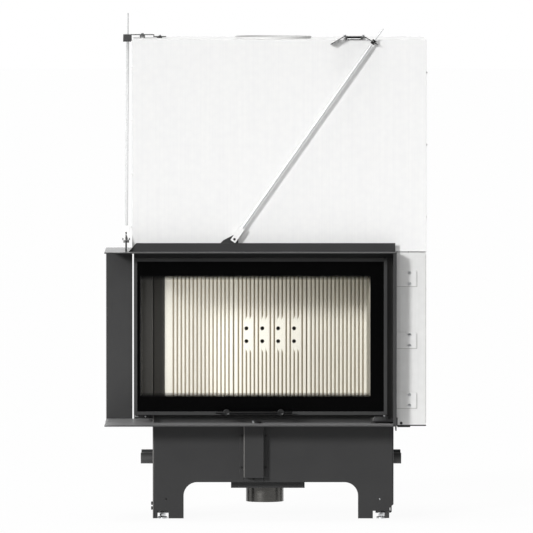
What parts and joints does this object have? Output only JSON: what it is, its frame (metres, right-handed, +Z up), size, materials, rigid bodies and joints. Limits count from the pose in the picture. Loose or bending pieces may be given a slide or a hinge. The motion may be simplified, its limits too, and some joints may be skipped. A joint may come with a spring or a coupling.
{
  "type": "fireplace insert",
  "caption": "Corner fireplace insert: glazed front and side door that lifts into a tall housing, arched base, air spigot, ribbed firebox lining and tie rods.",
  "frame": {"origin": "on the floor, under the middle of the outline", "axes": "+Z up, +X to the right of someone who faces the door, +Y to the back"},
  "size_m": [1.064, 0.56, 1.6675],
  "materials": {
    "black_steel": "satin black heat-proof paint",
    "pale_cover_steel": "pale grey-white sheet",
    "zinc_steel": "zinc plated",
    "cream_lining": "matt cream firebrick",
    "ceramic_glass": "clear ceramic glass",
    "fibre_seal": "woven glass fibre",
    "bare_iron": "bare rolled bar",
    "brass_shoe": "plain"
  },
  "bodies": {
    "frame": {"base_front_plate": "black_steel", "base_rear_plate": "black_steel", "base_side_plates": "black_steel", "carrying_stubs": "black_steel", "foot_brackets": "black_steel", "air_box": "black_steel", "air_spigot": "zinc_steel", "air_duct_cover": "black_steel", "lower_ledge": "black_steel", "sill_band": "black_steel", "upper_ledge": "black_steel", "hood_plate": "black_steel", "wing_panel": "black_steel", "right_frame_plate": "black_steel", "firebox_floor_pan": "black_steel", "firebox_back_wall": "black_steel", "firebox_right_wall": "black_steel", "rear_left_post": "black_steel", "inner_lintel": "black_steel", "smoke_dome": "black_steel", "flue_collar": "black_steel", "back_lining": "cream_lining", "right_lining": "cream_lining", "floor_lining": "cream_lining", "baffle_plates": "cream_lining", "upper_front_cover": "pale_cover_steel", "upper_left_cover": "pale_cover_steel", "right_cover": "pale_cover_steel", "lower_right_cover": "pale_cover_steel", "rear_cover": "pale_cover_steel", "top_plate": "pale_cover_steel", "duct_plates": "black_steel", "cover_brackets": "pale_cover_steel", "guide_rails": "zinc_steel", "sheave_brackets": "zinc_steel", "lift_cables": "zinc_steel", "tie_rods": "zinc_steel", "tie_rod_clevises": "zinc_steel", "tie_rod_lugs": "black_steel", "tie_rod_brackets": "black_steel", "fasteners": "zinc_steel"},
    "door_carriage": {"door_carriage": "black_steel", "side_frame": "black_steel", "side_glass": "ceramic_glass", "side_seal": "fibre_seal", "guide_shoes": "brass_shoe"},
    "leaf": {"leaf_frame": "black_steel", "leaf_glass": "ceramic_glass", "leaf_seal": "fibre_seal", "leaf_handle": "black_steel"},
    "counterweight_right": {"counterweight_right": "bare_iron"},
    "counterweight_left": {"counterweight_left": "bare_iron"},
    "sheave_right": {"sheave_right": "zinc_steel"},
    "sheave_left": {"sheave_left": "zinc_steel"},
    "air_lever": {"air_lever": "zinc_steel"},
    "air_slide": {"air_slide": "zinc_steel"},
    "foot_front_left": {"foot_front_left": "zinc_steel"},
    "foot_front_right": {"foot_front_right": "zinc_steel"},
    "foot_rear_left": {"foot_rear_left": "zinc_steel"},
    "foot_rear_right": {"foot_rear_right": "zinc_steel"}
  },
  "joints": [
    {"name": "door_lift", "type": "slide", "parent": "frame", "child": "door_carriage", "axis": [0, 0, 1], "range_m": [0, 0.48], "deforming": ["lift_cables"]},
    {"name": "leaf_swing", "type": "hinge", "parent": "door_carriage", "child": "leaf", "pos_m": [0.392, -0.176, 0.607], "axis": [0, 0, -1], "range_deg": [-90, 0]},
    {"name": "weight_right_slide", "type": "slide", "parent": "frame", "child": "counterweight_right", "axis": [0, 0, 1], "range_m": [-0.48, 0]},
    {"name": "weight_left_slide", "type": "slide", "parent": "frame", "child": "counterweight_left", "axis": [0, 0, 1], "range_m": [-0.48, 0]},
    {"name": "sheave_right_spin", "type": "hinge", "parent": "frame", "child": "sheave_right", "pos_m": [0.47, -0.1, 1.48], "axis": [1, 0, 0], "range_deg": [-460, 5]},
    {"name": "sheave_left_spin", "type": "hinge", "parent": "frame", "child": "sheave_left", "pos_m": [-0.41, 0.185, 1.48], "axis": [1, 0, 0], "range_deg": [-613, 5]},
    {"name": "air_lever_turn", "type": "hinge", "parent": "frame", "child": "air_lever", "pos_m": [-0.043, -0.1485, 0.24], "axis": [0, 1, 0], "range_deg": [0, 16]},
    {"name": "air_slide_move", "type": "slide", "parent": "frame", "child": "air_slide", "axis": [1, 0, 0], "range_m": [-0.017, 0]},
    {"name": "foot_front_left_screw", "type": "slide", "parent": "frame", "child": "foot_front_left", "axis": [0, 0, -1], "range_m": [0, 0.02]},
    {"name": "foot_front_right_screw", "type": "slide", "parent": "frame", "child": "foot_front_right", "axis": [0, 0, -1], "range_m": [0, 0.02]},
    {"name": "foot_rear_left_screw", "type": "slide", "parent": "frame", "child": "foot_rear_left", "axis": [0, 0, -1], "range_m": [0, 0.02]},
    {"name": "foot_rear_right_screw", "type": "slide", "parent": "frame", "child": "foot_rear_right", "axis": [0, 0, -1], "range_m": [0, 0.02]}
  ],
  "couplings": [
    {"joint": "weight_right_slide", "follows": "door_lift", "ratio": -1},
    {"joint": "weight_left_slide", "follows": "door_lift", "ratio": -1},
    {"joint": "sheave_right_spin", "follows": "door_lift", "rad_per_m": -16.667},
    {"joint": "sheave_left_spin", "follows": "door_lift", "rad_per_m": -22.222},
    {"joint": "air_slide_move", "follows": "air_lever_turn", "m_per_rad": -0.06}
  ]
}
